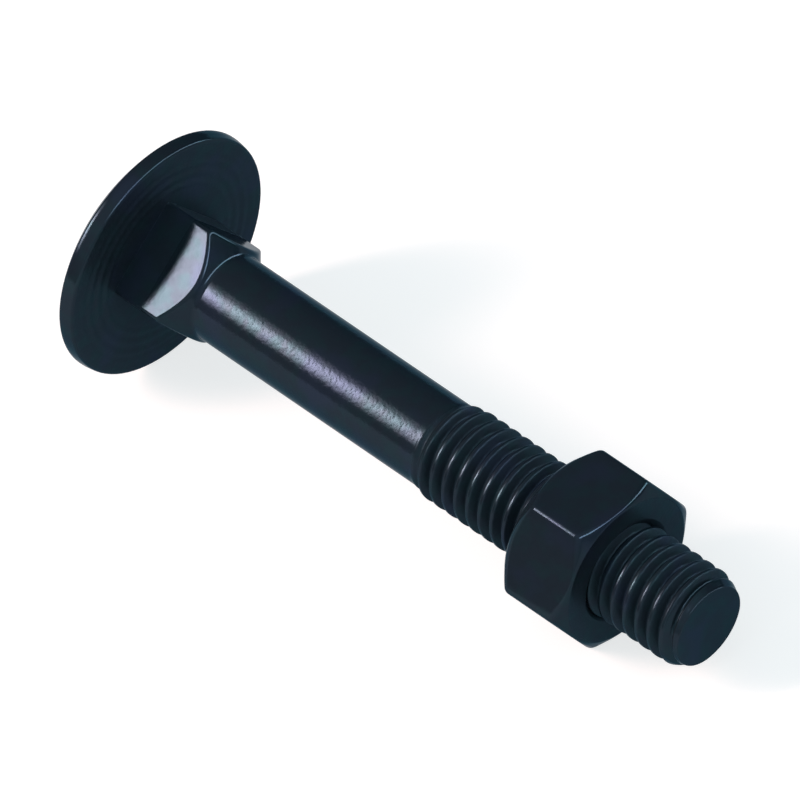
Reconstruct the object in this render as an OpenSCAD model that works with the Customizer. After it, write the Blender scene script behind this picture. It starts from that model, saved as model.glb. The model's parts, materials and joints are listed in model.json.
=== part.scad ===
// Carriage bolt with its hexagon nut, lying as it comes to rest: on the edge of the
// head and on one flat of the nut. The bolt points along +X and dips towards its tip.
// Places along the bolt are measured from the underside of the head.

/* [Head] */
// Diameter of the round head
head_d = 20.55; // [18:0.05:24]
// Height of the head, from its underside to the top of the dome
head_h = 4.6; // [3.6:0.1:6]
// Height of the straight band round the rim
rim_h = 1.2; // [0.7:0.05:1.6]
// Radius that rounds the rim into the underside
rim_round = 0.42; // [0.2:0.02:0.6]

/* [Square neck] */
// Width across the flats of the square neck
neck_w = 8.05; // [7.6:0.05:8.6]
// Length of the neck's corners, from the underside of the head
neck_l = 4.45; // [3:0.05:5.5]
// How far each corner of the neck is blunted
neck_blunt = 0.16; // [0:0.02:0.4]
// Angle between the axis and the cone that ends the neck's corners
neck_taper = 45.5; // [30:0.5:60]
// Radius of the hollow where that cone meets the shank
neck_hollow = 0.6; // [0.3:0.1:1]
// How far the neck is turned from the nut's lower flat
neck_turn = 36.5; // [0:0.5:89]

/* [Shank and thread] */
// Length of the bolt under the head
bolt_l = 56.6; // [52:0.1:80]
// Diameter of the plain shank
shank_d = 7.25; // [7:0.05:7.6]
// Where the thread starts
thread_at = 28.9; // [20:0.1:36]
// Diameter over the thread's crests
thread_d = 8; // [7.8:0.05:8.4]
// Distance from one crest to the next
pitch = 1.25; // [1:0.05:1.5]
// Depth of the thread, from crest to root
thread_depth = 0.75; // [0.55:0.05:0.8]
// Length of the cone at the tip
tip_h = 1.3; // [0.8:0.05:1.6]
// How far that cone comes in from the thread's crests
tip_in = 0.67; // [0.4:0.01:0.9]

/* [Nut] */
// Width across the flats of the nut
nut_af = 12.8; // [12:0.05:14]
// Height of the nut
nut_h = 6.8; // [5:0.1:8]
// Where the nut stands on the thread, its nearer face
nut_at = 41.25; // [36:0.05:44]
// Angle of the cone that takes off the nut's corners at its outer face
nut_slope = 32; // [20:1:35]
// Diameter of the flat ring on that face
nut_face_d = 12.4; // [11:0.05:12.6]
// Angle of the steeper cone at the face that bears on the joint
nut_seat_slope = 43; // [30:1:45]
// Diameter of the flat ring on that face
nut_seat_d = 11.9; // [11.6:0.05:12.6]
// Radial clearance between the thread's crests and the nut
nut_clearance = 0.05; // [0.02:0.01:0.1]
// How far the mouths of the nut's bore are opened out
nut_mouth = 0.3; // [0.1:0.05:0.5]

/* [Hidden] */
$fn = 96;

black_coat = [0.12, 0.16, 0.20];
black_nut = [0.15, 0.20, 0.24];
// Angle between each flank of the thread and a plane across the axis
flank_angle = 30;
// The crest is an eighth of the pitch wide, as on any metric thread
crest_w = pitch / 8;

head_r = head_d / 2;
shank_r = shank_d / 2;
crest_r = thread_d / 2;
root_r = crest_r - thread_depth;
tip_r = crest_r - tip_in;
flank_w = thread_depth * tan(flank_angle);
crests = floor((bolt_l - thread_at) / pitch) + 1;

// The dome is part of a ball that meets the rim's band
dome_h = head_h - rim_h;
dome_r = (head_r * head_r + dome_h * dome_h) / (2 * dome_h);

neck_corner_r = neck_w / sqrt(2) - neck_blunt;
// Where the cone under the corners reaches the shank
cone_end = neck_l + (neck_corner_r - shank_r) / tan(neck_taper);
// How far the hollow reaches from that place, both ways
hollow_reach = neck_hollow * tan(neck_taper / 2);

nut_bore_r = crest_r + nut_clearance;
nut_flat_r = nut_af / 2;
nut_corner_r = nut_flat_r / cos(30);
nut_face_r = min(nut_face_d / 2, nut_flat_r);
nut_seat_r = min(nut_seat_d / 2, nut_flat_r);
// Height of the outer cone at a corner and at the middle of a flat
corner_drop = (nut_corner_r - nut_face_r) * tan(nut_slope);
flat_drop = (nut_flat_r - nut_face_r) * tan(nut_slope);
// Height of the other cone at a corner
seat_drop = (nut_corner_r - nut_seat_r) * tan(nut_seat_slope);

// The floor touches the rim's rounding and the far end of the nut's lower flat
rest_r = head_r - rim_round - nut_flat_r;
rest_s = nut_at + nut_h - flat_drop + rim_round;
lie = atan2(rest_r, rest_s) + asin(rim_round / norm([rest_r, rest_s]));
axis_z = (rest_s - rim_round) * sin(lie) + nut_flat_r * cos(lie);
// The origin lies under the middle of the whole length
low_x = (dome_r - head_h) * cos(lie) - dome_r;
high_x = bolt_l * cos(lie) + tip_r * sin(lie);

// Takes a shape from the bolt's own axis, +Z towards the tip, to the way it lies
module laid_down() {
    translate([-(low_x + high_x) / 2, 0, axis_z]) rotate([0, 90 + lie, 0]) children();
}

// Corner piece that leaves a rounding of radius r, its square corner at the origin
module rounding(r) {
    difference() {
        translate([-r, -r]) square(2 * r);
        translate([-r, -r]) circle(r);
        translate([-2 * r, -2 * r]) square([r, 4 * r]);
        translate([-2 * r, -2 * r]) square([4 * r, r]);
    }
}

// Half section of the head: dome, straight rim, rounded edge and flat underside
module head_section() {
    difference() {
        intersection() {
            translate([0, dome_r - head_h]) circle(dome_r, $fn = 360);
            translate([0, -head_h]) square([head_r, head_h]);
        }
        translate([head_r, 0]) rounding(rim_round);
    }
}

// Half section of the thread: one ring of two flanks and a flat crest for each pitch
module thread_section() {
    lead_in = (crest_r - shank_r) * tan(flank_angle);
    rings = [for (i = [0 : crests - 1]) let (s = thread_at + i * pitch) each [
        [crest_r, s],
        [crest_r, s + crest_w],
        [root_r, s + crest_w + flank_w],
        [root_r, s + pitch - flank_w],
    ]];
    end_s = thread_at + crests * pitch;
    polygon(concat([[0, thread_at - lead_in], [shank_r, thread_at - lead_in]], rings, [[0, end_s]]));
}

// Half section of the plain shank, the thread and the cone at the tip
module shank_section() {
    square([shank_r, thread_at]);
    intersection() {
        thread_section();
        polygon([[0, 0], [crest_r, 0], [crest_r, bolt_l - tip_h], [tip_r, bolt_l], [0, bolt_l]]);
    }
}

// Half section of the round form that the square neck is cut to
module neck_section() {
    polygon([
        [0, -rim_h], [neck_corner_r, -rim_h], [neck_corner_r, neck_l],
        [shank_r, cone_end], [0, cone_end]
    ]);
    difference() {
        polygon([
            [0, cone_end - hollow_reach * cos(neck_taper)],
            [shank_r + hollow_reach * sin(neck_taper), cone_end - hollow_reach * cos(neck_taper)],
            [shank_r, cone_end + hollow_reach],
            [0, cone_end + hollow_reach]
        ]);
        translate([shank_r + neck_hollow, cone_end + hollow_reach]) circle(neck_hollow);
    }
}

// Square neck under the head, its corners run out on a cone into the shank
module square_neck() {
    intersection() {
        rotate_extrude() neck_section();
        rotate([0, 0, neck_turn])
            translate([-neck_w / 2, -neck_w / 2, -rim_h])
                cube([neck_w, neck_w, rim_h + cone_end + hollow_reach]);
    }
}

module bolt() {
    color(black_coat) laid_down() union() {
        rotate_extrude() {
            head_section();
            shank_section();
        }
        square_neck();
    }
}

// Half section of the round form that the hexagon is cut to, with a cone at each face
module nut_section() {
    polygon([
        [0, 0], [nut_seat_r, 0], [nut_corner_r, seat_drop],
        [nut_corner_r, nut_h - corner_drop], [nut_face_r, nut_h], [0, nut_h]
    ]);
}

// Half section of the nut's bore, opened out at both mouths
module bore_section() {
    mouth_h = nut_mouth * tan(nut_slope);
    mouth_r = nut_bore_r + nut_mouth;
    translate([0, -nut_h]) square([nut_bore_r, 3 * nut_h]);
    polygon([[0, 0], [mouth_r, 0], [nut_bore_r, mouth_h], [0, mouth_h]]);
    polygon([[0, nut_h], [mouth_r, nut_h], [nut_bore_r, nut_h - mouth_h], [0, nut_h - mouth_h]]);
}

module hex_nut() {
    color(black_nut) laid_down() translate([0, 0, nut_at]) difference() {
        intersection() {
            rotate_extrude() nut_section();
            rotate([0, 0, 30]) cylinder(r = nut_corner_r, h = nut_h, $fn = 6);
        }
        rotate_extrude() bore_section();
    }
}

bolt();
hex_nut();
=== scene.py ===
"""The looks of a carriage bolt and its hexagon nut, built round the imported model.

Sizes are in millimetres until a mesh is made. Places along the bolt are measured from the
underside of its head, towards the tip, and turns round its axis from the side that lies
uppermost. Each surface is a grid of rows, from the dome to the tip, and of columns, round
the axis, worked out as whole arrays.
"""

import json
import logging
import math
from dataclasses import dataclass, field, replace
from enum import Enum
from typing import Sequence

import bpy
import numpy as np
from mathutils import Matrix, Vector

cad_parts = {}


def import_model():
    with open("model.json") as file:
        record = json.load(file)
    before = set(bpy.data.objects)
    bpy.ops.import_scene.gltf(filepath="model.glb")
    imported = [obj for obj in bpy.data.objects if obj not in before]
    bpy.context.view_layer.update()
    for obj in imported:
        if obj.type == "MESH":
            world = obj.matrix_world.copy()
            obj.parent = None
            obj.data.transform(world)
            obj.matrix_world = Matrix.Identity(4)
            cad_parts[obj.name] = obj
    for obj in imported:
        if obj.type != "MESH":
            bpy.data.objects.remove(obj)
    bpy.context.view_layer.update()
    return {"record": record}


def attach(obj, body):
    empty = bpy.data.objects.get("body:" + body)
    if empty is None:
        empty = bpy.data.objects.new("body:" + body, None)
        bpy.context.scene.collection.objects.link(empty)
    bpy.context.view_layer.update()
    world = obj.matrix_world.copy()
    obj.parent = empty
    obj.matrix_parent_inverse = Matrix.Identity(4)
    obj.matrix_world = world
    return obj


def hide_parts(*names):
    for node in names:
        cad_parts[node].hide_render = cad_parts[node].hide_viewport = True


MM = 0.001
# Name of the mesh attribute that says how dull the coat is
DULLNESS = "dullness"
# Share of the shorter stretch beside it that an arc may take up
ARC_ROOM = 0.48
# Least change of direction that a corner is taken to have, in radians
LEAST_TURNING = 1e-4

Array = np.ndarray
Span = tuple[float, float]
Colour = tuple[float, float, float]
Direction = tuple[float, float, float]
Tree = bpy.types.NodeTree
Socket = bpy.types.NodeSocket
log = logging.getLogger("carriage_bolt")


class Hand(Enum):
    """Which way a thread winds: the sense in which a turn carries its crest towards the tip."""

    RIGHT = 1.0
    LEFT = -1.0


@dataclass(frozen=True)
class Lie:
    """How the bolt lies: the middle of its head's underside and three directions.

    along points to the tip, up to the side that lies uppermost, and side makes a
    right-handed set with them.
    """

    foot: Array
    along: Array
    up: Array
    side: Array

    @classmethod
    def from_mount(cls, mount: dict) -> "Lie":
        """The lie that the mount under the head gives.

        Args:
            mount: the record's flat face under the head.

        Returns:
            The lie, its foot in millimetres.
        """
        along = np.array(mount["axis"], float)
        along /= np.linalg.norm(along)
        side = np.cross(along, [0.0, 0.0, 1.0])
        side /= np.linalg.norm(side)
        return cls(np.array(mount["pos_m"], float) / MM, along, np.cross(side, along), side)

    def place(self, section: Array, turn: Array) -> Array:
        """Points of a surface in the frame, in metres.

        The point is foot + s along + r (cos turn up + sin turn side).

        Args:
            section: rows by columns of (r, s), in millimetres.
            turn: the turn of each column, in radians.

        Returns:
            Rows by columns of (x, y, z).
        """
        r, s = section[..., 0:1], section[..., 1:2]
        out = np.cos(turn)[:, None] * self.up + np.sin(turn)[:, None] * self.side
        return (self.foot + s * self.along + r * out) * MM

    def distance_along(self, point_m: Sequence[float]) -> float:
        """How far along the bolt a point of the frame lies, in millimetres."""
        return float((np.array(point_m, float) / MM - self.foot) @ self.along)


def smooth_step(value: Array, start: float, end: float) -> Array:
    """Rises from 0 at start to 1 at end, as 3t^2 - 2t^3, and stays flat outside."""
    t = np.clip((value - start) / (end - start), 0.0, 1.0)
    return t * t * (3.0 - 2.0 * t)


def soft_min(a: Array, b: Array, width: float) -> Array:
    """The lower of two heights, its crease rounded over width.

    It is the mean of a and b less half of sqrt((a - b)^2 + width^2): the lower of the two far
    from the crease, and half of width under it there.

    Args:
        a: heights.
        b: heights of the same shape.
        width: how wide the rounding is.

    Returns:
        Heights of the same shape.
    """
    return 0.5 * (a + b - np.sqrt((a - b) ** 2 + width**2))


def column_turns(sides: int, first_flat: float, coarse: int, near: Sequence[float]) -> Array:
    """Turns of the columns: evenly spaced, with a few more on both sides of each corner.

    A corner lies 180 / sides past the middle of a flat. Turns that agree to a millionth of a
    degree are one column.

    Args:
        sides: how many flats, and corners, the outline has.
        first_flat: turn of one flat's middle, in degrees.
        coarse: how many evenly spaced columns, a multiple of sides.
        near: distances from a corner of the extra columns, in degrees.

    Returns:
        The turns in rising order, in radians.
    """
    first_corner = first_flat + 180.0 / sides
    even = first_corner + np.arange(coarse) * 360.0 / coarse
    corners = first_corner + np.arange(sides) * 360.0 / sides
    offsets = np.concatenate([-np.array(near), np.array(near)])
    extra = (corners[:, None] + offsets[None, :]).ravel()
    return np.radians(np.unique(np.round(np.concatenate([even, extra]) % 360.0, 6)))


def polygon_radius(
    turn: Array, sides: int, apothem: float, rounding: float, first_flat: float
) -> Array:
    """Polar radius of a regular polygon whose corners are rounded with arcs.

    On a flat it is apothem / cos(angle from the flat's middle). Near a corner it is the far
    crossing of the ray with the corner's circle: c cos(a) + sqrt(rounding^2 - c^2 sin(a)^2),
    where c is the distance of the circle's centre and a the angle from the corner.

    Args:
        turn: turns in radians.
        sides: how many flats.
        apothem: distance from the axis to a flat.
        rounding: radius of the corners.
        first_flat: turn of one flat's middle, in radians.

    Returns:
        The radius at each turn.
    """
    half = math.pi / sides
    from_flat = np.abs((turn - first_flat + half) % (2 * half) - half)
    from_corner = half - from_flat
    centre = (apothem - rounding) / math.cos(half)
    leaves_flat = math.atan((apothem - rounding) * math.tan(half) / apothem)
    inside = np.maximum(rounding**2 - (centre * np.sin(from_corner)) ** 2, 0.0)
    corner = centre * np.cos(from_corner) + np.sqrt(inside)
    return np.where(from_flat > leaves_flat, corner, apothem / np.cos(from_flat))


def row(r: Array | float, s: Array | float, columns: int) -> Array:
    """One row of a surface, r and s each one number or an array with one for each column."""
    return np.stack([np.broadcast_to(r, columns), np.broadcast_to(s, columns)], -1)


def rounded_path(corners: Array, radii: Sequence[float], steps: int) -> Array:
    """Rows along straight stretches whose corners are rounded with arcs.

    An arc leaves its stretch at the tangent length, radius times tan(turning / 2), and runs
    evenly round a centre on the bisector. Where a stretch is short the arc shrinks to fit.

    Args:
        corners: stretches' ends by columns of (r, s).
        radii: one radius for each end, 0 for a sharp one.
        steps: how many steps each arc has.

    Returns:
        Rows by columns of (r, s).
    """
    rows = []
    for i, radius in enumerate(radii):
        here = corners[i]
        if radius == 0 or i in (0, len(radii) - 1):
            rows.append(here[None])
            continue
        back, ahead = corners[i - 1] - here, corners[i + 1] - here
        back_len = np.linalg.norm(back, axis=-1, keepdims=True)
        ahead_len = np.linalg.norm(ahead, axis=-1, keepdims=True)
        back, ahead = back / back_len, ahead / ahead_len
        between = np.arccos(np.clip((back * ahead).sum(-1, keepdims=True), -1.0, 1.0))
        turning = np.maximum(math.pi - between, LEAST_TURNING)
        room = ARC_ROOM * np.minimum(back_len, ahead_len)
        tangent = np.minimum(radius * np.tan(turning / 2), room)
        arc_r = tangent / np.tan(turning / 2)
        middle = back + ahead
        middle = middle / np.linalg.norm(middle, axis=-1, keepdims=True)
        centre = here + middle * arc_r / np.cos(turning / 2)
        first, last = here + back * tangent - centre, here + ahead * tangent - centre
        share = np.linspace(0.0, 1.0, steps + 1)[:, None, None]
        arc = np.sin((1 - share) * turning) * first + np.sin(share * turning) * last
        rows.append(centre + arc / np.sin(turning))
    return np.concatenate(rows)


def between_rows(first: Array, last: Array, count: int) -> Array:
    """Evenly spaced rows strictly between two rows.

    Args:
        first: columns of (r, s).
        last: columns of (r, s).
        count: how many rows to make.

    Returns:
        Rows by columns of (r, s).
    """
    share = np.linspace(0.0, 1.0, count + 2)[1:-1, None, None]
    return first * (1.0 - share) + last * share


def grid_faces(rows: int, columns: int, closed: bool) -> Array:
    """Triangles of a grid that closes on itself round the axis.

    Every cell is split along the same diagonal, up one row and one column, which is the way
    a right-hand crest climbs. A grid that isn't closed gets a fan at each end, to a pole that
    follows the grid's own points.

    Args:
        rows: how many rows the grid has.
        columns: how many columns it has.
        closed: whether the last row joins the first.

    Returns:
        Faces by their three corners, each a point's number.
    """
    index = np.arange(rows * columns).reshape(rows, columns)
    if closed:
        index = np.vstack([index, index[:1]])
    right = np.roll(index, -1, axis=1)
    low, low_right, top, top_right = index[:-1], right[:-1], index[1:], right[1:]
    faces = [
        np.stack([low, low_right, top_right], -1).reshape(-1, 3),
        np.stack([low, top_right, top], -1).reshape(-1, 3),
    ]
    if not closed:
        first_pole = np.full(columns, rows * columns)
        faces += [
            np.stack([first_pole, right[0], index[0]], -1),
            np.stack([first_pole + 1, index[-1], right[-1]], -1),
        ]
    return np.concatenate(faces)


def vertex_normals(vertices: Array, faces: Array) -> Array:
    """Normals of the points: the sum of their faces' cross products, brought to length 1.

    A cross product is as long as its face is large, so each face counts by its area.

    Args:
        vertices: points by (x, y, z).
        faces: faces by their three corners.

    Returns:
        Points by (x, y, z) of their normals.
    """
    corners = vertices[faces]
    across = np.cross(corners[:, 1] - corners[:, 0], corners[:, 2] - corners[:, 0])
    normals = np.zeros_like(vertices)
    for corner in range(3):
        np.add.at(normals, faces[:, corner], across)
    return normals / np.linalg.norm(normals, axis=1, keepdims=True)


def skin(name: str, points: Array, dullness: Array, closed: bool) -> bpy.types.Object:
    """Makes a mesh object from a grid that closes on itself round the axis.

    A grid that isn't closed gets a pole in the middle of each end row.

    Args:
        name: the piece's name.
        points: rows by columns of (x, y, z), in metres.
        dullness: rows by columns, from 0 where the coat is glossy to 1 where it is dull.
        closed: whether the last row joins the first.

    Returns:
        The new object, at the origin.
    """
    faces = grid_faces(*points.shape[:2], closed)
    vertices, dull = points.reshape(-1, 3), dullness.reshape(-1)
    if not closed:
        vertices = np.concatenate([vertices, [points[0].mean(0), points[-1].mean(0)]])
        dull = np.concatenate([dull, [dullness[0].mean(), dullness[-1].mean()]])
    mesh = bpy.data.meshes.new(name)
    mesh.vertices.add(len(vertices))
    mesh.vertices.foreach_set("co", vertices.astype(np.float32).ravel())
    mesh.loops.add(faces.size)
    mesh.loops.foreach_set("vertex_index", faces.astype(np.int32).ravel())
    mesh.polygons.add(len(faces))
    mesh.polygons.foreach_set("loop_start", np.arange(0, faces.size, 3, dtype=np.int32))
    mesh.update(calc_edges=True)
    attribute = mesh.attributes.new(DULLNESS, "FLOAT", "POINT")
    attribute.data.foreach_set("value", dull.astype(np.float32))
    mesh.shade_smooth()
    normals = vertex_normals(vertices, faces)
    mesh.normals_split_custom_set_from_vertices(normals.astype(np.float32))
    mesh.validate()
    piece = bpy.data.objects.new(name, mesh)
    bpy.context.scene.collection.objects.link(piece)
    return piece


def compute(tree: Tree, operation: str, first: Socket, second: Socket | float) -> Socket:
    """Two values worked together by a Math node.

    Args:
        tree: the nodes.
        operation: the Math node's own name for what it does.
        first: a node's output.
        second: a node's output or a plain number.

    Returns:
        The result.
    """
    node = tree.nodes.new("ShaderNodeMath")
    node.operation = operation
    tree.links.new(first, node.inputs[0])
    if isinstance(second, float):
        node.inputs[1].default_value = second
    else:
        tree.links.new(second, node.inputs[1])
    return node.outputs["Value"]


def remap(
    tree: Tree, value: Socket, source: Span, result: Span = (0.0, 1.0), smooth: bool = False
) -> Socket:
    """A value carried from one span to another and held at its ends.

    Args:
        tree: the nodes.
        value: a node's output.
        source: the span that the value comes from.
        result: the span that it goes to.
        smooth: whether it eases in and out, as 3t^2 - 2t^3, and not in a straight line.

    Returns:
        The carried value.
    """
    node = tree.nodes.new("ShaderNodeMapRange")
    if smooth:
        node.interpolation_type = "SMOOTHSTEP"
    for label, number in zip(("From Min", "From Max", "To Min", "To Max"), source + result):
        node.inputs[label].default_value = number
    tree.links.new(value, node.inputs["Value"])
    return node.outputs["Result"]


def mixed(tree: Tree, share: Socket, first: Colour | Socket, second: Colour) -> Socket:
    """A colour between two.

    Args:
        tree: the nodes.
        share: 0 for the first colour, 1 for the second.
        first: a colour or a node's output.
        second: a colour.

    Returns:
        The mixed colour.
    """
    node = tree.nodes.new("ShaderNodeMix")
    node.data_type = "RGBA"
    tree.links.new(share, node.inputs["Factor"])
    if isinstance(first, tuple):
        node.inputs["A"].default_value = (*first, 1.0)
    else:
        tree.links.new(first, node.inputs["A"])
    node.inputs["B"].default_value = (*second, 1.0)
    return node.outputs["Result"]


def facing(tree: Tree, way: Socket, towards: Direction) -> Socket:
    """The cosine of the angle between each direction and towards.

    Args:
        tree: the world's nodes.
        way: the output that gives each direction.
        towards: the direction to compare with.

    Returns:
        The cosine.
    """
    node = tree.nodes.new("ShaderNodeVectorMath")
    node.operation = "DOT_PRODUCT"
    node.inputs[1].default_value = Vector(towards).normalized()
    tree.links.new(way, node.inputs[0])
    return node.outputs["Value"]


@dataclass(frozen=True)
class ThreadForm:
    """The section of a metric thread, and the helix that its crest follows.

    flank is the angle between a flank and the axis, and crest_at the place of one crest on
    the uppermost side.
    """

    pitch: float = 1.25
    crest_r: float = 4.0
    depth: float = 0.68
    half_crest: float = 0.14
    crest_round: float = 0.10
    root_round: float = 0.16
    flank: float = math.radians(60.0)
    hand: Hand = Hand.RIGHT
    crest_at: float = 30.08
    rows_a_turn: int = 24

    @property
    def row_step(self) -> float:
        """Distance between two rows."""
        return self.pitch / self.rows_a_turn

    def mate(
        self,
        play: float = 0.06,
        depth: float = 0.58,
        half_crest: float = 0.18,
        root_round: float = 0.10,
    ) -> "ThreadForm":
        """The thread of the nut that fits this one, on the same helix.

        Args:
            play: how far its grooves stand clear of this thread's crests.
            depth: its depth.
            half_crest: half the width of its grooves.
            root_round: rounding of its crests, where this thread has its roots.

        Returns:
            The nut's form.
        """
        crest_r = self.crest_r + play
        return replace(
            self, crest_r=crest_r, depth=depth, half_crest=half_crest, root_round=root_round
        )

    def rows_within(self, low: float, high: float, turn: Array) -> Array:
        """Evenly spaced rows, each a whole number of steps from a crest.

        Args:
            low: the rows start no lower.
            high: the rows end no higher.
            turn: turns of the columns.

        Returns:
            Rows by columns of s.
        """
        first = math.ceil((low - self.crest_at) / self.row_step)
        last = math.floor((high - self.crest_at) / self.row_step)
        s = self.crest_at + np.arange(first, last + 1) * self.row_step
        return s[:, None] * np.ones_like(turn)

    def shift(self, turn: Array) -> Array:
        """How far each column slides along the bolt so that its rows meet the crest."""
        # The row spacing times the part beyond a whole number of the rows that the crest climbs
        climbed = self.hand.value * self.rows_a_turn * turn / (2 * math.pi)
        return (climbed - np.round(climbed)) * self.row_step

    def from_crest(self, s: Array, turn: Array) -> Array:
        """Distance along the bolt from the nearest crest, from minus to plus half a pitch."""
        climbed = (s - self.crest_at) / self.pitch - self.hand.value * turn / (2 * math.pi)
        return (climbed - np.round(climbed)) * self.pitch

    def drop(self, from_crest: Array) -> Array:
        """How far the surface lies below the crest.

        Level at the crest, an arc into the straight flank, the flank at tan(flank), an arc
        into the root and level there.

        Args:
            from_crest: distance along the bolt from the crest.

        Returns:
            The drop, 0 to depth.
        """
        x = np.abs(from_crest)
        slope, lean = math.tan(self.flank), math.cos(self.flank)
        in_crest = self.crest_round * math.tan(self.flank / 2)
        in_root = self.root_round * math.tan(self.flank / 2)
        root_at = self.half_crest + self.depth / slope
        crest_arc = x - (self.half_crest - in_crest)
        root_arc = root_at + in_root - x
        return np.select(
            [
                crest_arc <= 0,
                x <= self.half_crest + in_crest * lean,
                x <= root_at - in_root * lean,
                root_arc >= 0,
            ],
            [
                0.0,
                self.crest_round - np.sqrt(np.maximum(self.crest_round**2 - crest_arc**2, 0)),
                (x - self.half_crest) * slope,
                self.depth - self.root_round
                + np.sqrt(np.maximum(self.root_round**2 - root_arc**2, 0)),
            ],
            self.depth,
        )


@dataclass(frozen=True)
class Mottle:
    """A noise: its features for each metre, its finer layers, and the span of it that shows."""

    per_m: float
    layers: float
    layer_share: float
    span: Span

    def noise(self, tree: Tree, place: Socket) -> Socket:
        """The noise at each point.

        Args:
            tree: the material's nodes.
            place: the output that gives the piece's own coordinates.

        Returns:
            The noise, about a half on average.
        """
        node = tree.nodes.new("ShaderNodeTexNoise")
        node.inputs["Scale"].default_value = self.per_m
        node.inputs["Detail"].default_value = self.layers
        node.inputs["Roughness"].default_value = self.layer_share
        tree.links.new(place, node.inputs["Vector"])
        return node.outputs["Fac"]


@dataclass(frozen=True)
class BlackCoat:
    """A thin glossy black coat on steel, with a blue-green cast and a fine grain.

    gloss is the roughness where the coat is glossy, from one end of the grain to the other.
    The relief is full where dullness reaches grained_at, and smooth_share of that at 0.
    """

    name: str
    deep: Colour = (0.0198, 0.0312, 0.0436)
    teal: Colour = (0.0184, 0.0352, 0.0458)
    blue: Colour = (0.0216, 0.0326, 0.0530)
    patches: Mottle = Mottle(per_m=700.0, layers=3.0, layer_share=0.55, span=(0.42, 0.62))
    drift: Mottle = Mottle(per_m=259.0, layers=2.0, layer_share=0.5, span=(0.50, 0.68))
    grain: Mottle = Mottle(per_m=3000.0, layers=1.5, layer_share=0.5, span=(0.3, 0.7))
    metal: float = 0.50
    edge_tint: Colour = (0.49, 0.60, 0.68)
    gloss: Span = (0.0984, 0.15)
    dull_roughness: float = 0.45
    grain_height: float = 0.000012
    grained_at: float = 0.12
    smooth_share: float = 0.18

    def make(self) -> bpy.types.Material:
        """The material: three tones in soft patches, a grain in the gloss and in the relief.

        Returns:
            The new material.
        """
        material = bpy.data.materials.new(self.name)
        material.use_nodes = True
        tree = material.node_tree
        tree.nodes.clear()
        out = tree.nodes.new("ShaderNodeOutputMaterial")
        coat = tree.nodes.new("ShaderNodeBsdfPrincipled")
        coat.inputs["Metallic"].default_value = self.metal
        coat.inputs["Specular IOR Level"].default_value = 0.0
        coat.inputs["Specular Tint"].default_value = (*self.edge_tint, 1.0)
        place = tree.nodes.new("ShaderNodeTexCoord").outputs["Object"]
        attribute = tree.nodes.new("ShaderNodeAttribute")
        attribute.attribute_name = DULLNESS
        dull = attribute.outputs["Fac"]
        grain = self.grain.noise(tree, place)
        tree.links.new(self._tone(tree, place), coat.inputs["Base Color"])
        tree.links.new(self._roughness(tree, grain, dull), coat.inputs["Roughness"])
        tree.links.new(self._relief(tree, grain, dull), coat.inputs["Normal"])
        tree.links.new(coat.outputs["BSDF"], out.inputs["Surface"])
        return material

    def _tone(self, tree: Tree, place: Socket) -> Socket:
        """The colour: teal patches in the deep tone, with a wider drift of blue over both.

        Args:
            tree: the material's nodes.
            place: the output that gives the piece's own coordinates.

        Returns:
            The colour.
        """
        patches = remap(tree, self.patches.noise(tree, place), self.patches.span, smooth=True)
        drift = remap(tree, self.drift.noise(tree, place), self.drift.span, smooth=True)
        return mixed(tree, drift, mixed(tree, patches, self.deep, self.teal), self.blue)

    def _roughness(self, tree: Tree, grain: Socket, dull: Socket) -> Socket:
        """The roughness: the gloss, wavering with the grain, gives way to the dull one.

        Args:
            tree: the material's nodes.
            grain: the grain's noise.
            dull: how dull the coat is.

        Returns:
            The roughness.
        """
        node = tree.nodes.new("ShaderNodeMix")
        node.data_type = "FLOAT"
        node.inputs["B"].default_value = self.dull_roughness
        tree.links.new(dull, node.inputs["Factor"])
        tree.links.new(remap(tree, grain, self.grain.span, self.gloss), node.inputs["A"])
        return node.outputs["Result"]

    def _relief(self, tree: Tree, grain: Socket, dull: Socket) -> Socket:
        """The normal: the grain stands out by its height, and less where the coat is glossy.

        Args:
            tree: the material's nodes.
            grain: the grain's noise.
            dull: how dull the coat is.

        Returns:
            The normal.
        """
        bump = tree.nodes.new("ShaderNodeBump")
        bump.inputs["Distance"].default_value = self.grain_height
        strength = remap(tree, dull, (0.0, self.grained_at), (self.smooth_share, 1.0))
        tree.links.new(strength, bump.inputs["Strength"])
        tree.links.new(grain, bump.inputs["Height"])
        return bump.outputs["Normal"]


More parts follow.
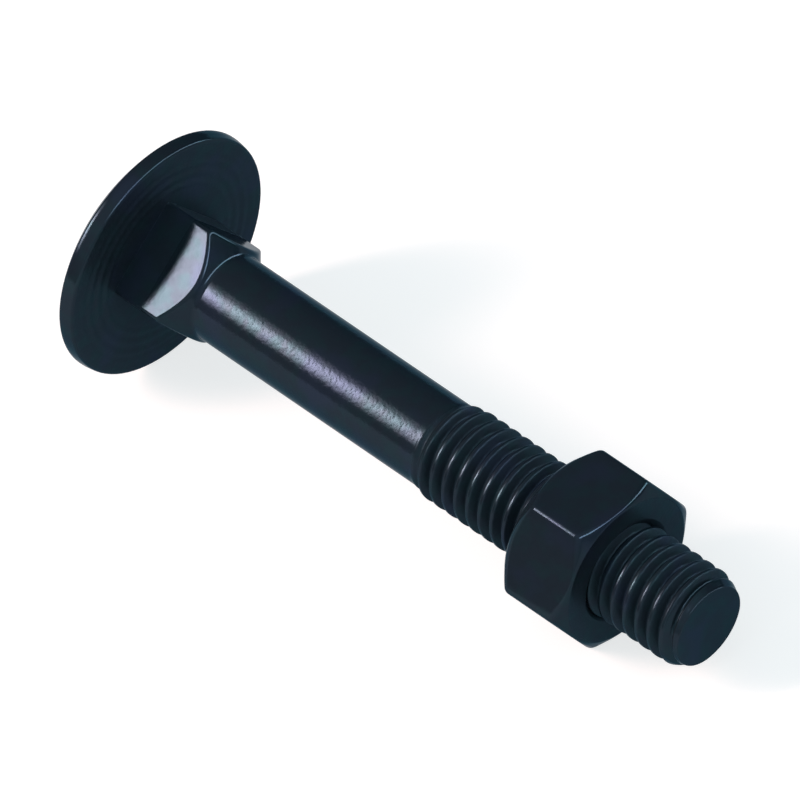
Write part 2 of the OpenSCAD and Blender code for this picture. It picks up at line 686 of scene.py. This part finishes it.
@dataclass
class BoltForging:
    """The bolt: dome, rim, ringed underside, square neck, shank, rolled thread and tip."""

    lie: Lie
    thread: ThreadForm = field(default_factory=ThreadForm)
    length: float = 56.6
    columns_round: int = 96
    near_corner: tuple[float, ...] = (0.6, 1.2, 1.85, 2.4)

    # Dome and rim: the rim bulges by a wide arc, and leans in towards the underside
    head_d: float = 20.55
    head_h: float = 4.6
    dome_share: float = 0.975
    dome_steps: int = 24
    brow_round: float = 0.25
    rim_h: float = 1.2
    rim_belly: float = 3.5
    belly_at: float = 0.7
    rim_lean: float = 0.14
    rim_round: float = 0.42
    rim_ease: float = 0.06
    rim_steps: int = 7

    # Underside: faint rings, and the radii between which they come and go
    ring_step: float = 0.92
    ring_height: float = 0.022
    rings_from: Span = (5.7, 6.5)
    rings_to: Span = (8.2, 9.4)
    under_steps: int = 44

    # Square neck, the cone that ends its corners, and the arris between the two
    neck_flats: int = 4
    neck_w: float = 8.05
    neck_l: float = 4.45
    neck_turn: float = 36.5
    neck_round: float = 0.38
    neck_taper: float = math.radians(45.5)
    neck_hollow: float = 0.6
    foot_hollow: float = 0.02
    foot_ease: float = 0.05
    arris: float = 0.55
    neck_steps: int = 8

    # Shank and thread: the crests rise over run_out, and the rows before the tip lie level
    shank_d: float = 7.25
    shank_lead: float = 1.2
    shank_steps: int = 24
    run_out: Span = (28.9, 30.7)
    thread_lead: float = 0.3
    level_before_tip: Span = (0.5, 0.1)

    # Tip: its cone, and the rounding into its flat end
    tip_h: float = 1.3
    tip_in: float = 0.67
    tip_blend: float = 0.05
    tip_margin: float = 0.132
    tip_round: float = 0.22
    tip_ease: float = 0.04
    tip_middle: float = 0.15
    tip_steps: int = 5

    # Dull coat: where it comes and goes, along the bolt, in from the rim and off a crest
    dull_above: Span = (-0.3, -0.1)
    dull_inside: Span = (0.15, 0.45)
    dull_to: Span = (2.4, 3.0)
    shank_dullness: float = 0.12
    shank_from: Span = (6.5, 7.5)
    thread_fade: float = 1.0
    dull_off_crest: Span = (0.04, 0.11)
    tip_fade: float = 0.2

    def columns(self) -> Array:
        """Turns of the columns, with more of them at the neck's corners."""
        return column_turns(
            self.neck_flats, self.neck_turn, self.columns_round, self.near_corner
        )

    def dome(self, turn: Array) -> Array:
        """The dome: a ball's radius times sin and cos of an angle that grows evenly.

        Args:
            turn: turns of the columns.

        Returns:
            Rows by columns of (r, s), from near the top to near the rim.
        """
        head_r, dome_h = self.head_d / 2, self.head_h - self.rim_h
        ball = (head_r**2 + dome_h**2) / (2 * dome_h)
        edge = math.asin(head_r / ball)
        steps = np.linspace(edge / self.dome_steps, edge * self.dome_share, self.dome_steps)
        angle = steps[:, None] * np.ones_like(turn)
        return np.stack([ball * np.sin(angle), ball * (1 - np.cos(angle)) - self.head_h], -1)

    def rim(self, brow: Array) -> Array:
        """The rim: straight stretches rounded into the dome, the bulge and the underside.

        Args:
            brow: the dome's last row, columns of (r, s).

        Returns:
            Rows by columns of (r, s).
        """
        head_r, columns = self.head_d / 2, len(brow)
        edge_r = head_r - self.rim_lean
        corners = np.stack([
            brow,
            row(head_r, -self.rim_h, columns),
            row(head_r, -self.belly_at * self.rim_h, columns),
            row(edge_r, 0.0, columns),
            row(edge_r - self.rim_round - self.rim_ease, 0.0, columns),
        ])
        radii = (0, self.brow_round, self.rim_belly, self.rim_round, 0)
        return rounded_path(corners, radii, self.rim_steps)[1:]

    def underside(self, edge: Array, foot: Array) -> Array:
        """The underside: level, with faint rings round the neck that fade towards the rim.

        Their relief is ring_height times cos(2 pi r / ring_step), faded in and out along r.

        Args:
            edge: the rim's last row, columns of (r, s).
            foot: the neck's first row, columns of (r, s).

        Returns:
            Rows by columns of (r, s).
        """
        rows = between_rows(edge, foot, self.under_steps)
        r = rows[..., 0]
        fade = smooth_step(r, *self.rings_from) * (1.0 - smooth_step(r, *self.rings_to))
        rows[..., 1] += self.ring_height * fade * np.cos(2 * math.pi * r / self.ring_step)
        return rows

    def neck(self, foot: Array, neck_r: Array) -> Array:
        """The neck, the cone that ends its corners, and the start of the shank.

        The cone cuts the neck at neck_l + (corner's radius - neck's radius) / tan(neck_taper).
        Where the dull coat gives way on the flats, rows of their own keep it in its place.

        Args:
            foot: the row where the underside ends, columns of (r, s).
            neck_r: polar radius of the neck at each column.

        Returns:
            Rows by columns of (r, s).
        """
        shank_r, columns = self.shank_d / 2, len(neck_r)
        corner_r, slope = neck_r.max(), math.tan(self.neck_taper)
        cone_end = self.neck_l + (corner_r - shank_r) / slope
        corners = np.stack([
            foot,
            row(neck_r, 0.0, columns),
            row(neck_r, self.dull_to[0], columns),
            row(neck_r, self.dull_to[1], columns),
            row(neck_r, self.neck_l + (corner_r - neck_r) / slope, columns),
            row(shank_r, cone_end, columns),
            row(shank_r, cone_end + self.shank_lead, columns),
        ])
        radii = (0, self.foot_hollow, 0, 0, self.arris, self.neck_hollow, 0)
        return rounded_path(corners, radii, self.neck_steps)

    def head(self, turn: Array) -> Array:
        """Everything from the top of the dome to the start of the shank.

        Args:
            turn: turns of the columns.

        Returns:
            Rows by columns of (r, s).
        """
        flat = math.radians(self.neck_turn)
        neck_r = polygon_radius(turn, self.neck_flats, self.neck_w / 2, self.neck_round, flat)
        foot = row(neck_r + self.foot_hollow + self.foot_ease, 0.0, len(turn))
        dome = self.dome(turn)
        rim = self.rim(dome[-1])
        under = self.underside(rim[-1], foot)
        return np.concatenate([dome, rim, under, self.neck(foot, neck_r)])

    def threaded_end(self, turn: Array) -> Array:
        """The threaded end: crests that rise out of the shank and die on the tip's cone.

        The radius is the shank's, plus the thread's section less the shank times a ramp,
        kept under the cone. The rows slide to meet the crest, except at both ends.

        Args:
            turn: turns of the columns.

        Returns:
            Rows by columns of (r, s).
        """
        form, shank_r, start = self.thread, self.shank_d / 2, self.run_out[0]
        far, near = self.level_before_tip
        s = form.rows_within(start - self.thread_lead, self.length - self.tip_margin, turn)
        hold = smooth_step(s, s.min(), start)
        hold *= 1 - smooth_step(s, self.length - far, self.length - near)
        s = s + form.shift(turn) * hold
        crest = form.crest_r - form.drop(form.from_crest(s, turn))
        r = shank_r + smooth_step(s, *self.run_out) * (crest - shank_r)
        cone = form.crest_r - self.tip_in * (s - self.length + self.tip_h) / self.tip_h
        return np.stack([soft_min(r, cone, self.tip_blend), s], -1)

    def tip(self, last: Array) -> Array:
        """The flat end: a small rounding and rings in towards the middle.

        Args:
            last: the last row of the thread, columns of (r, s).

        Returns:
            Rows by columns of (r, s).
        """
        columns = len(last)
        edge = row(last[:, 0] - self.tip_ease, self.length, columns)
        middle = row(self.tip_middle, self.length, columns)
        corners, radii = np.stack([last, edge, middle]), (0, self.tip_round, 0)
        arc = rounded_path(corners, radii, self.tip_steps)[1:-1]
        rings = between_rows(arc[-1], middle, self.tip_steps)
        return np.concatenate([arc, rings, middle[None]])

    def dullness(self, section: Array, turn: Array) -> Array:
        """How dull the coat is: the underside and the thread's grooves are, its crests aren't.

        The share under the head runs from inside the rim to the middle of the neck, that of the
        thread grows with the distance from the crest, and the drawn shank has a little.

        Args:
            section: rows by columns of (r, s).
            turn: turns of the columns.

        Returns:
            Rows by columns, from 0 to 1.
        """
        r, s = section[..., 0], section[..., 1]
        start, end = self.run_out[0], self.length - self.tip_h
        under = smooth_step(s, *self.dull_above)
        under *= smooth_step(self.head_d / 2 - r, *self.dull_inside)
        under *= 1 - smooth_step(s, *self.dull_to)
        in_thread = smooth_step(s, start, start + self.thread_fade)
        shank = smooth_step(s, *self.shank_from) * (1 - in_thread)
        grooves = smooth_step(np.abs(self.thread.from_crest(s, turn)), *self.dull_off_crest)
        grooves *= in_thread * (1 - smooth_step(s, end, end + self.tip_fade))
        return under + self.shank_dullness * shank + grooves

    def build(self) -> bpy.types.Object:
        """Builds the bolt as one closed skin.

        Returns:
            The piece.
        """
        turn = self.columns()
        head, thread = self.head(turn), self.threaded_end(turn)
        shank = between_rows(head[-1], thread[0], self.shank_steps)
        section = np.concatenate([head, shank, thread, self.tip(thread[-1])])
        dullness = self.dullness(section, turn)
        return skin("carriage_bolt", self.lie.place(section, turn), dullness, closed=False)

    def dress(self, piece: bpy.types.Object, finish: BlackCoat) -> None:
        """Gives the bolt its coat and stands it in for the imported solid.

        Args:
            piece: the bolt.
            finish: its coat.
        """
        piece.data.materials.append(finish.make())
        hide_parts("bolt")
        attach(piece, "bolt")


@dataclass
class HexNut:
    """The nut: six flats under two cones, with a threaded bore that fits the bolt.

    near_face is the place along the bolt of the face towards the head.
    """

    lie: Lie
    near_face: float
    thread: ThreadForm
    flats: int = 6
    across_flats: float = 12.8
    height: float = 6.8
    corner_round: float = 0.62
    columns_round: int = 120
    near_corner: tuple[float, ...] = (0.3, 0.6, 0.95, 1.4)

    # Cones at the outer face and at the seat, with the flat ring on each
    slope: float = math.radians(32.0)
    face_d: float = 12.4
    seat_slope: float = math.radians(43.0)
    seat_d: float = 11.9
    face_round: float = 0.40
    arris: float = 0.80
    arc_steps: int = 6

    # Mouths of the bore: their cones, and the rows beside each face that lie level
    mouth_d: float = 8.7
    mouth_slope: float = math.radians(30.0)
    mouth_blend: float = 0.04
    mouth_lip: float = 0.5
    level_at_face: float = 0.2

    # How far in from the flat ring's edge the coat turns dull
    dull_inside: Span = (-0.1, 0.3)

    def columns(self) -> Array:
        """Turns of the columns, with more of them at the six corners."""
        return column_turns(self.flats, 0.0, self.columns_round, self.near_corner)

    def bore(self, turn: Array) -> Array:
        """The threaded bore, opened out at both mouths.

        The radius is the crest's of the bolt, plus a clearance, less the thread's drop, and
        at least the cone's of each mouth.

        Args:
            turn: turns of the columns.

        Returns:
            Rows by columns of (r, s), from the near face to the far one.
        """
        form, level = self.thread, self.level_at_face
        low, high = self.near_face, self.near_face + self.height
        s = form.rows_within(low, high, turn)
        hold = smooth_step(s, low, low + level) * (1 - smooth_step(s, high - level, high))
        s = s + form.shift(turn) * hold
        r = form.crest_r - form.drop(form.from_crest(s, turn))
        depth = np.minimum(s - low, high - s)
        mouth = self.mouth_d / 2 - depth / math.tan(self.mouth_slope)
        return np.stack([-soft_min(-r, -mouth, self.mouth_blend), s], -1)

    def outside(self, turn: Array) -> Array:
        """Faces, cones and flats, from the far mouth round to the near one.

        Each cone rises from the face's ring to the hexagon, so its edge on a flat is the
        curve where the two meet: drop = (hexagon's radius - ring's radius) tan(slope).

        Args:
            turn: turns of the columns.

        Returns:
            Rows by columns of (r, s).
        """
        columns = len(turn)
        low, high = self.near_face, self.near_face + self.height
        hexagon = polygon_radius(turn, self.flats, self.across_flats / 2, self.corner_round, 0.0)
        ring, seat, mouth = self.face_d / 2, self.seat_d / 2, self.mouth_d / 2
        corners = np.stack([
            row(mouth, high, columns),
            row(mouth + self.mouth_lip, high, columns),
            row(ring, high, columns),
            row(hexagon, high - (hexagon - ring) * math.tan(self.slope), columns),
            row(hexagon, low + (hexagon - seat) * math.tan(self.seat_slope), columns),
            row(seat, low, columns),
            row(mouth + self.mouth_lip, low, columns),
            row(mouth, low, columns),
        ])
        radii = (0, 0, self.face_round, self.arris, self.arris, self.face_round, 0, 0)
        return rounded_path(corners, radii, self.arc_steps)

    def build(self) -> bpy.types.Object:
        """Builds the nut as one closed skin.

        Returns:
            The piece.
        """
        turn = self.columns()
        section = np.concatenate([self.bore(turn), self.outside(turn)])
        dullness = smooth_step(self.face_d / 2 - section[..., 0], *self.dull_inside)
        return skin("hexagon_nut", self.lie.place(section, turn), dullness, closed=True)

    def dress(self, piece: bpy.types.Object, finish: BlackCoat) -> None:
        """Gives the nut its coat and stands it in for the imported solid.

        Args:
            piece: the nut.
            finish: its coat.
        """
        piece.data.materials.append(finish.make())
        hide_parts("hex_nut")
        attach(piece, "nut")


@dataclass
class Studio:
    """A pale floor, a tall soft panel, a dim room with an arch of light, and a long lens."""

    floor_size: float = 8.0
    floor_colour: Colour = (0.48, 0.48, 0.48)
    floor_glow: float = 0.72
    glow_colour: Colour = (0.99, 1.0, 1.0)

    # The panel spans two directions, and its bands are places up it and shares of its light
    key_low: Direction = (-0.4928, -0.8206, 0.2896)
    key_high: Direction = (-0.4476, -0.2664, 0.8537)
    key_distance: float = 1.20
    key_width: float = 0.22
    key_power: float = 30.0
    key_colour: Colour = (1.0, 0.68, 0.61)
    key_bands: tuple[Span, ...] = (
        (0.07, 0.0), (0.13, 0.10), (0.24, 0.36), (0.34, 0.66), (0.44, 1.0),
        (0.58, 1.0), (0.67, 0.60), (0.77, 0.17), (0.89, 0.09), (0.99, 0.0),
    )

    # The room, and the cosines between which it brightens towards bounce_from
    room_colour: Colour = (0.160, 0.225, 0.265)
    bounce_colour: Colour = (0.62, 0.72, 0.76)
    bounce_from: Direction = (0.58, -0.42, 0.70)
    bounce_over: Span = (0.2, 1.0)

    # The arch, and the directions and cosines to them between which it fades in
    arch_strength: float = 16.0
    arch_colour: Colour = (0.8, 0.8, 0.8)
    arch_fades: tuple[tuple[Direction, Span], ...] = (
        ((-0.674, 0.127, 0.729), (0.21, 0.11)),
        ((0.674, -0.127, -0.729), (0.09, 0.02)),
        ((0.0, 1.0, 0.0), (-0.50, -0.25)),
        ((0.0, -1.0, 0.0), (-0.995, -0.94)),
    )

    azimuth: float = 52.5253
    elevation: float = 44.8374
    roll: float = -11.1297
    aim_mm: tuple[float, float, float] = (-9.1741, 6.1306, 0.1822)
    distance: float = 1.80517
    lens: float = 1080.0
    sensor: float = 36.0
    clip: Span = (0.1, 50.0)

    def floor(self) -> None:
        """A wide pale floor just under the object, brighter to the eye, in gloss and in glass."""
        mesh = bpy.data.meshes.new("pale_floor")
        half = self.floor_size / 2
        mesh.from_pydata(
            [(-half, -half, 0), (half, -half, 0), (half, half, 0), (-half, half, 0)],
            [],
            [(0, 1, 2, 3)],
        )
        floor = bpy.data.objects.new("pale_floor", mesh)
        bpy.context.scene.collection.objects.link(floor)
        material = bpy.data.materials.new("pale_floor")
        material.use_nodes = True
        tree = material.node_tree
        tree.nodes.clear()
        out = tree.nodes.new("ShaderNodeOutputMaterial")
        matt = tree.nodes.new("ShaderNodeBsdfDiffuse")
        matt.inputs["Color"].default_value = (*self.floor_colour, 1.0)
        glow = tree.nodes.new("ShaderNodeEmission")
        glow.inputs["Color"].default_value = (*self.glow_colour, 1.0)
        both = tree.nodes.new("ShaderNodeAddShader")
        ray = tree.nodes.new("ShaderNodeLightPath").outputs
        seen = compute(tree, "MAXIMUM", ray["Is Camera Ray"], ray["Is Glossy Ray"])
        seen = compute(tree, "MAXIMUM", seen, ray["Is Transmission Ray"])
        strength = compute(tree, "MULTIPLY", seen, self.floor_glow)
        tree.links.new(strength, glow.inputs["Strength"])
        tree.links.new(matt.outputs["BSDF"], both.inputs[0])
        tree.links.new(glow.outputs["Emission"], both.inputs[1])
        tree.links.new(both.outputs["Shader"], out.inputs["Surface"])
        mesh.materials.append(material)

    def key_panel(self) -> None:
        """The tall soft panel on the left, which faces the object.

        It is 2 distance tan(half the angle between its ends) high, and its light rises and
        falls over its height, as a soft box's does.
        """
        low, high = Vector(self.key_low).normalized(), Vector(self.key_high).normalized()
        middle, rise = (low + high).normalized(), (high - low).normalized()
        data = bpy.data.lights.new("key_panel", "AREA")
        data.shape = "RECTANGLE"
        data.size = self.key_width
        data.size_y = 2 * self.key_distance * math.tan(low.angle(high) / 2)
        data.energy = self.key_power
        data.color = self.key_colour
        data.use_nodes = True
        tree = data.node_tree
        where = tree.nodes.new("ShaderNodeNewGeometry")
        height = tree.nodes.new("ShaderNodeSeparateXYZ")
        bands = tree.nodes.new("ShaderNodeValToRGB")
        stops = bands.color_ramp.elements
        for i, (place, share) in enumerate(self.key_bands):
            stop = stops[i] if i < len(stops) else stops.new(place)
            stop.position = place
            stop.color = (share, share, share, 1.0)
        tree.links.new(where.outputs["Parametric"], height.inputs["Vector"])
        tree.links.new(height.outputs["Y"], bands.inputs["Fac"])
        tree.links.new(bands.outputs["Color"], tree.nodes["Emission"].inputs["Strength"])
        panel = bpy.data.objects.new("key_panel", data)
        bpy.context.scene.collection.objects.link(panel)
        panel.location = middle * self.key_distance
        across = rise.cross(middle).normalized()
        panel.rotation_euler = Matrix((across, rise, middle)).transposed().to_euler()

    def room(self) -> None:
        """A dim room, smoothly brighter on the side that the object is looked at from."""
        world = bpy.data.worlds.new("studio")
        world.use_nodes = True
        tree = world.node_tree
        way = tree.nodes.new("ShaderNodeTexCoord").outputs["Generated"]
        share = remap(tree, facing(tree, way, self.bounce_from), self.bounce_over, smooth=True)
        colour = mixed(tree, share, self.room_colour, self.bounce_colour)
        walls = tree.nodes["Background"]
        arch = tree.nodes.new("ShaderNodeBackground")
        arch.inputs["Color"].default_value = (*self.arch_colour, 1.0)
        both = tree.nodes.new("ShaderNodeAddShader")
        tree.links.new(colour, walls.inputs["Color"])
        tree.links.new(self._arch(tree, way), arch.inputs["Strength"])
        tree.links.new(walls.outputs["Background"], both.inputs[0])
        tree.links.new(arch.outputs["Background"], both.inputs[1])
        tree.links.new(both.outputs["Shader"], tree.nodes["World Output"].inputs["Surface"])
        bpy.context.scene.world = world

    def _arch(self, tree: Tree, way: Socket) -> Socket:
        """A narrow arch of light over the bolt, from the front to the back, seen in gloss only.

        It follows the great circle square to the first of arch_fades' directions. The first
        two fade it out on both sides of that circle, and the last two at its feet.

        Args:
            tree: the world's nodes.
            way: the output that gives each direction.

        Returns:
            The strength of its light.
        """
        share = tree.nodes.new("ShaderNodeLightPath").outputs["Is Glossy Ray"]
        for towards, over in self.arch_fades:
            fade = remap(tree, facing(tree, way, towards), over, smooth=True)
            share = compute(tree, "MULTIPLY", fade, share)
        return compute(tree, "MULTIPLY", share, self.arch_strength)

    def camera(self) -> None:
        """A long lens that looks down on the bolt from its tip's side, rolled a little."""
        data = bpy.data.cameras.new("photo_view")
        data.sensor_width = self.sensor
        data.lens = self.lens
        data.clip_start, data.clip_end = self.clip
        camera = bpy.data.objects.new("photo_view", data)
        bpy.context.scene.collection.objects.link(camera)
        azimuth, elevation = math.radians(self.azimuth), math.radians(self.elevation)
        back = Vector((
            math.sin(azimuth) * math.cos(elevation),
            -math.cos(azimuth) * math.cos(elevation),
            math.sin(elevation),
        ))
        level = back.to_track_quat("Z", "Y").to_matrix()
        turned = level @ Matrix.Rotation(math.radians(self.roll), 3, "Z")
        camera.rotation_euler = turned.to_euler()
        camera.location = Vector(self.aim_mm) * MM + back * self.distance
        bpy.context.scene.camera = camera

    def set_up(self) -> None:
        """Puts the floor, the light and the camera in place."""
        self.floor()
        self.key_panel()
        self.room()
        self.camera()
        bpy.context.scene.view_settings.view_transform = "Standard"


def main() -> None:
    """Builds the bolt and its nut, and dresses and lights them."""
    logging.basicConfig(level=logging.INFO, format="%(message)s")
    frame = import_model()
    mounts = {mount["name"]: mount for mount in frame["record"]["mounts"]}
    lie = Lie.from_mount(mounts["under_head"])
    bolt = BoltForging(lie)
    near_face = lie.distance_along(mounts["nut_bearing"]["pos_m"])
    nut = HexNut(lie, near_face, bolt.thread.mate())
    for part, finish in ((bolt, BlackCoat("bolt_coat")), (nut, BlackCoat("nut_coat"))):
        piece = part.build()
        part.dress(piece, finish)
        log.info("%s: %d triangles", piece.name, len(piece.data.polygons))
    Studio().set_up()


if __name__ == "__main__":
    main()
